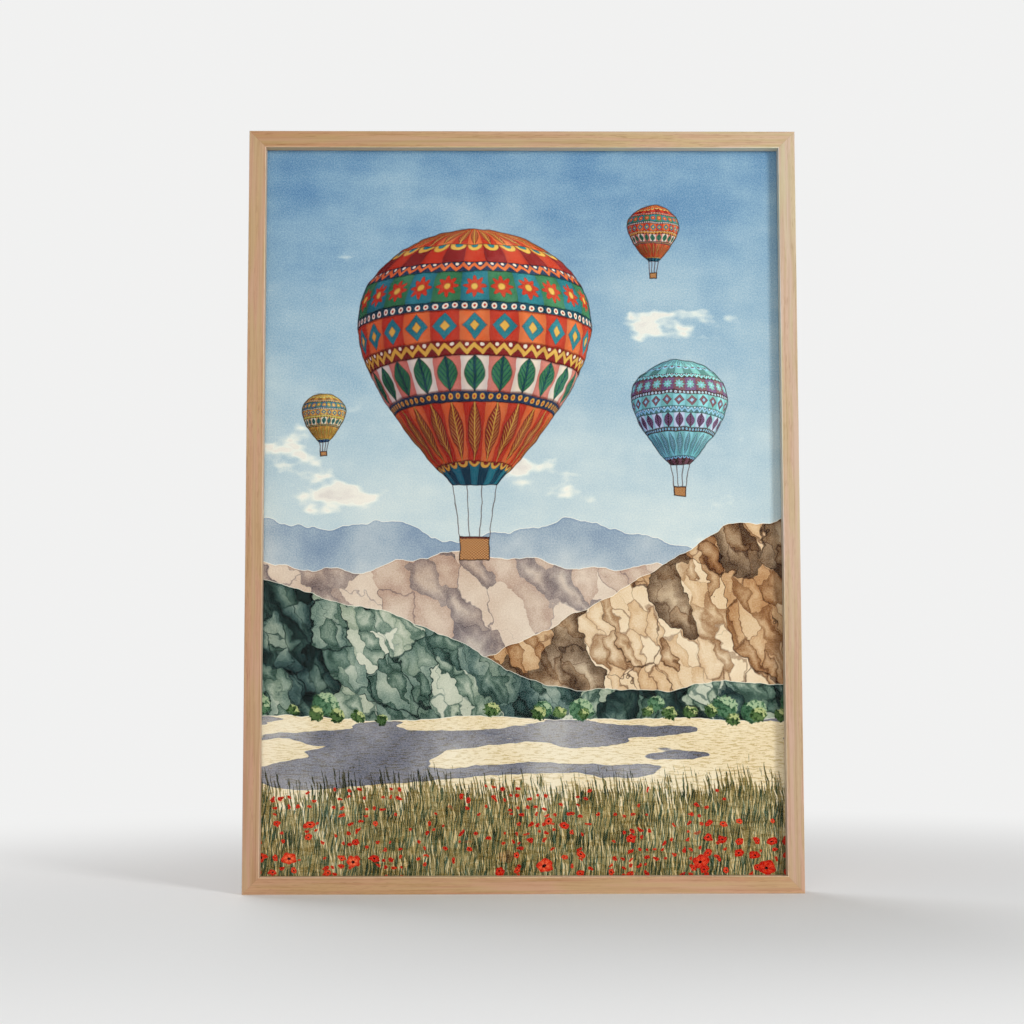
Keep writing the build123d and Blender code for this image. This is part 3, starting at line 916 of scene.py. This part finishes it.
def ring_points():
    """The ring's wire: a circle carried along a D of a straight bar, two rounded corners, two sides and a
    half-round bow, in x and z, with the bar's middle at the origin."""
    bend, bow = np.linspace(0, pi / 2, corner_steps), np.linspace(0, pi, bow_steps)
    inner = ring_half - ring_corner
    side = np.linspace(-ring_corner, -ring_side, straight_steps + 2)[1:-1]
    bar = np.linspace(-inner, inner, bar_steps)[:-1]
    to_right, to_left = np.sin(bend), -np.cos(bend[:-1])
    x = np.concatenate([bar, inner + ring_corner * to_right, 0 * side + ring_half, ring_half * np.cos(bow),
                        0 * side - ring_half, ring_corner * to_left - inner])
    z = np.concatenate([0 * bar, ring_corner * np.cos(bend) - ring_corner, side,
                        -ring_side - ring_half * np.sin(bow), side[::-1],
                        ring_corner * np.sin(bend[:-1]) - ring_corner])
    path = np.stack([x, z], -1)
    ahead = np.roll(path, -1, axis=0) - np.roll(path, 1, axis=0)
    ahead /= np.linalg.norm(ahead, axis=1, keepdims=True)
    outward = np.stack([-ahead[:, 1], ahead[:, 0]], -1)
    turn = np.linspace(0, 2 * pi, wire_steps + 1)[:-1]
    flat = path[:, None] + outward[:, None] * (wire_radius * np.cos(turn))[:, None]
    return flat[..., 0], wire_radius * np.sin(turn), flat[..., 1]


across, out, down = ring_points()
for name, pivot in pivots("ring").items():
    placed = points_at(pivot[0] + across, pivot[1] + out * cos(ring_lean) - down * sin(ring_lean),
                       pivot[2] + down * cos(ring_lean) + out * sin(ring_lean))
    skinned(name + "_wire", placed[None], False, [nickel], name, name)
    dress(name.replace("ring", "strap"), nickel)


# V-nails. Bent to a V from strip steel and driven across each mitre from behind, just under the wood. They
# pull the two rails together while the glue sets.
dress("v_nails", plated("nail_strip", (0.50, 0.50, 0.51), 0.42))


# Bumper pads. Domes of soft clear-grey rubber, moulded in one piece and stuck on near the lower corners.
# They keep the frame off the wall about as far as the hangers do.
pad_radius, pad_thickness, pad_foot, pad_shoulder, pad_crown = 4.5, 3.5, 0.15, 1.0, 0.25
pad_dome = np.array([(2.4, 0.11), (1.2, 0.03), (0.3, 0.0)])  # radius, and how far under the top
pad_steps, shoulder_steps = 48, 7
rubber, tree, shader = material("moulded_rubber", Specular_IOR_Level=0.45)
place = millimetres(tree)
cloudy = noise(tree, place, 2.5, 3.0, 0.6)
grey = blend(tree, cloudy, paint(168, 168, 162), paint(196, 196, 190))
surface(shader, grey, cloudy * 0.2 + 0.45, noise(tree, place, 0.35), 0.15, 0.00003)
turn, bend = np.linspace(0, 2 * pi, pad_steps + 1)[:-1], np.linspace(0, pi / 2, shoulder_steps)
# A half profile turned round the axis: a foot, a straight side, a rounded shoulder and a low dome
radius = np.concatenate([[pad_radius - pad_foot, pad_radius],
                         pad_radius - pad_shoulder * (1 - np.cos(bend)), pad_dome[:, 0]])
height = np.concatenate([[0.0, pad_foot], pad_thickness - pad_crown - pad_shoulder * (1 - np.sin(bend)),
                         pad_thickness - pad_dome[:, 1]])
low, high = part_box("bumper_pads")
middle_x = np.array([low.x * mm + pad_radius, high.x * mm - pad_radius])[:, None, None]
middle_z = (low.z + high.z) / 2 * mm
placed = points_at(middle_x + radius[:, None] * np.cos(turn), half_depth + height[:, None],
                   middle_z - radius[:, None] * np.sin(turn))
skinned("bumper_pad_domes", placed, True, [rubber], "frame", "bumper_pads", 60.0)


# Lamps, floor and surroundings: soft light from the right and a little above, a broad weak one from the
# front, one from behind, and a plain pale floor that runs into the same pale background.
lamps = (  # name, place, what it faces, width and height, watts, and whether it shows in gloss
    ("window", (1.45, -1.95, 0.85), (0.0, 0.0, 0.40), (0.55, 0.9), 34.0, False),
    ("front_fill", (-0.15, -2.6, 0.7), (0.0, 0.0, 0.36), (1.3, 1.0), 19.0, False),
    ("back_fill", (-1.3, 1.9, 1.3), (0.0, 0.0, 0.35), (2.2, 2.2), 38.0, True),
)
for name, place, aim, size, watts, in_gloss in lamps:
    light = bpy.data.lights.new(name, "AREA")
    light.shape, light.size, light.size_y, light.energy = "RECTANGLE", *size, watts
    lamp = added(name, light)
    turned = (Vector(aim) - Vector(place)).to_track_quat("-Z", "Y").to_matrix().to_4x4()
    lamp.matrix_world = Matrix.Translation(place) @ turned
    lamp.visible_glossy = in_gloss
pale, dim = (0.88, 0.88, 0.875), (0.32, 0.32, 0.32)


def seen_from_camera(tree):
    """1 for what the camera sees, also in a reflection or through glass, and 0 for what lights the rest."""
    rays = node(tree, "LightPath").outputs
    straight, mirrored, through = (Amount(rays[f"Is {kind} Ray"])
                                   for kind in ("Camera", "Glossy", "Transmission"))
    return straight.most(mirrored).most(through)


floor_mesh = bpy.data.meshes.new("floor")
reach = 40.0
corners = [(-reach, -reach, 0), (reach, -reach, 0), (reach, reach, 0), (-reach, reach, 0)]
floor_mesh.from_pydata(corners, [], [(0, 1, 2, 3)])
added("floor", floor_mesh)
ground, tree, shader = material("floor", Roughness=0.9, Specular_IOR_Level=0.1, Base_Color=pale)
glow = node(tree, "Emission", (pale, 1.0))
x, y, z = parts_of(tree, node(tree, "TexCoord").outputs["Object"])
away = ((x * x + y * y) ** 0.5).rise(0.35, 1.3)
show(shader, away * seen_from_camera(tree), glow)
floor_mesh.materials.append(ground)

world = bpy.data.worlds.new("studio")
bpy.context.scene.world = world
world.use_nodes = True
tree = world.node_tree
feed(tree.nodes["Background"], {"Color": blend(tree, seen_from_camera(tree), dim, pale)})
